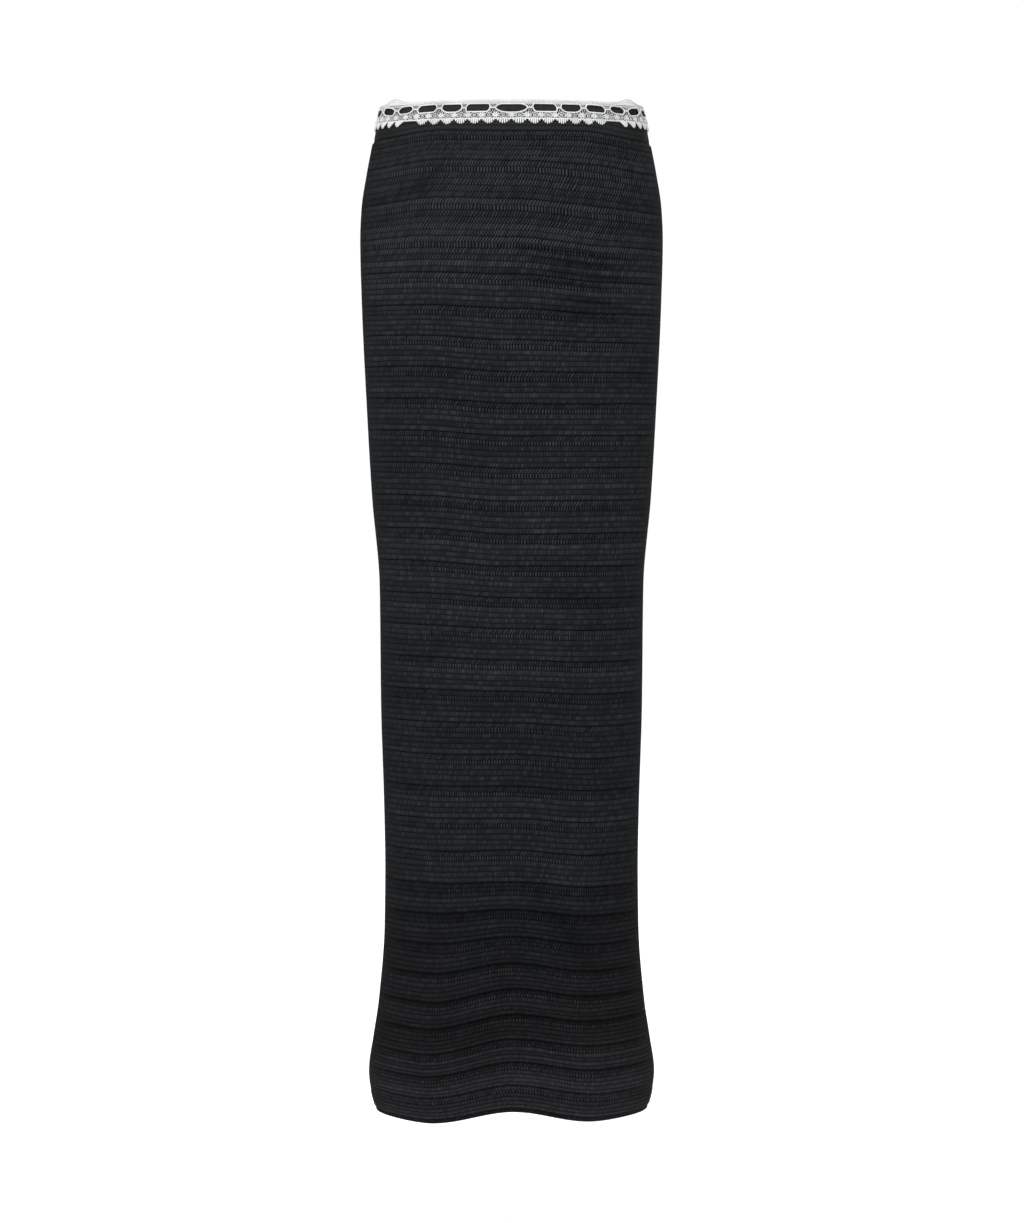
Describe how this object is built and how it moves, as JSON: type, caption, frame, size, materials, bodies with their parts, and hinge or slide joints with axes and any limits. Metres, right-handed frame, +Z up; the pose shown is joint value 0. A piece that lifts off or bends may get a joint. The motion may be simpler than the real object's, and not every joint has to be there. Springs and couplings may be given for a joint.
{
  "type": "knitted maxi pencil skirt",
  "caption": "Fitted black rib-knit maxi pencil skirt, filled out as worn, with a plain waistband under white scalloped beading lace and a softly flared hem.",
  "frame": {"origin": "centre of the waist opening, level with the top edge of the lace at the side seams", "axes": "+Z up the skirt towards the waist, +X across it to the right of someone facing the front, +Y from front to back"},
  "size_m": [0.3012, 0.2332, 1.0023],
  "materials": {
    "rib_knit": "soft black knit with raised crosswise ribs and a faint sheen",
    "plain_knit": "smooth fine black jersey",
    "lace": "matt white cotton beading lace"
  },
  "bodies": {
    "root": {"front_panel": "rib_knit", "back_panel": "rib_knit", "waistband": "plain_knit", "lace_front": "lace", "lace_back": "lace"}
  },
  "joints": []
}
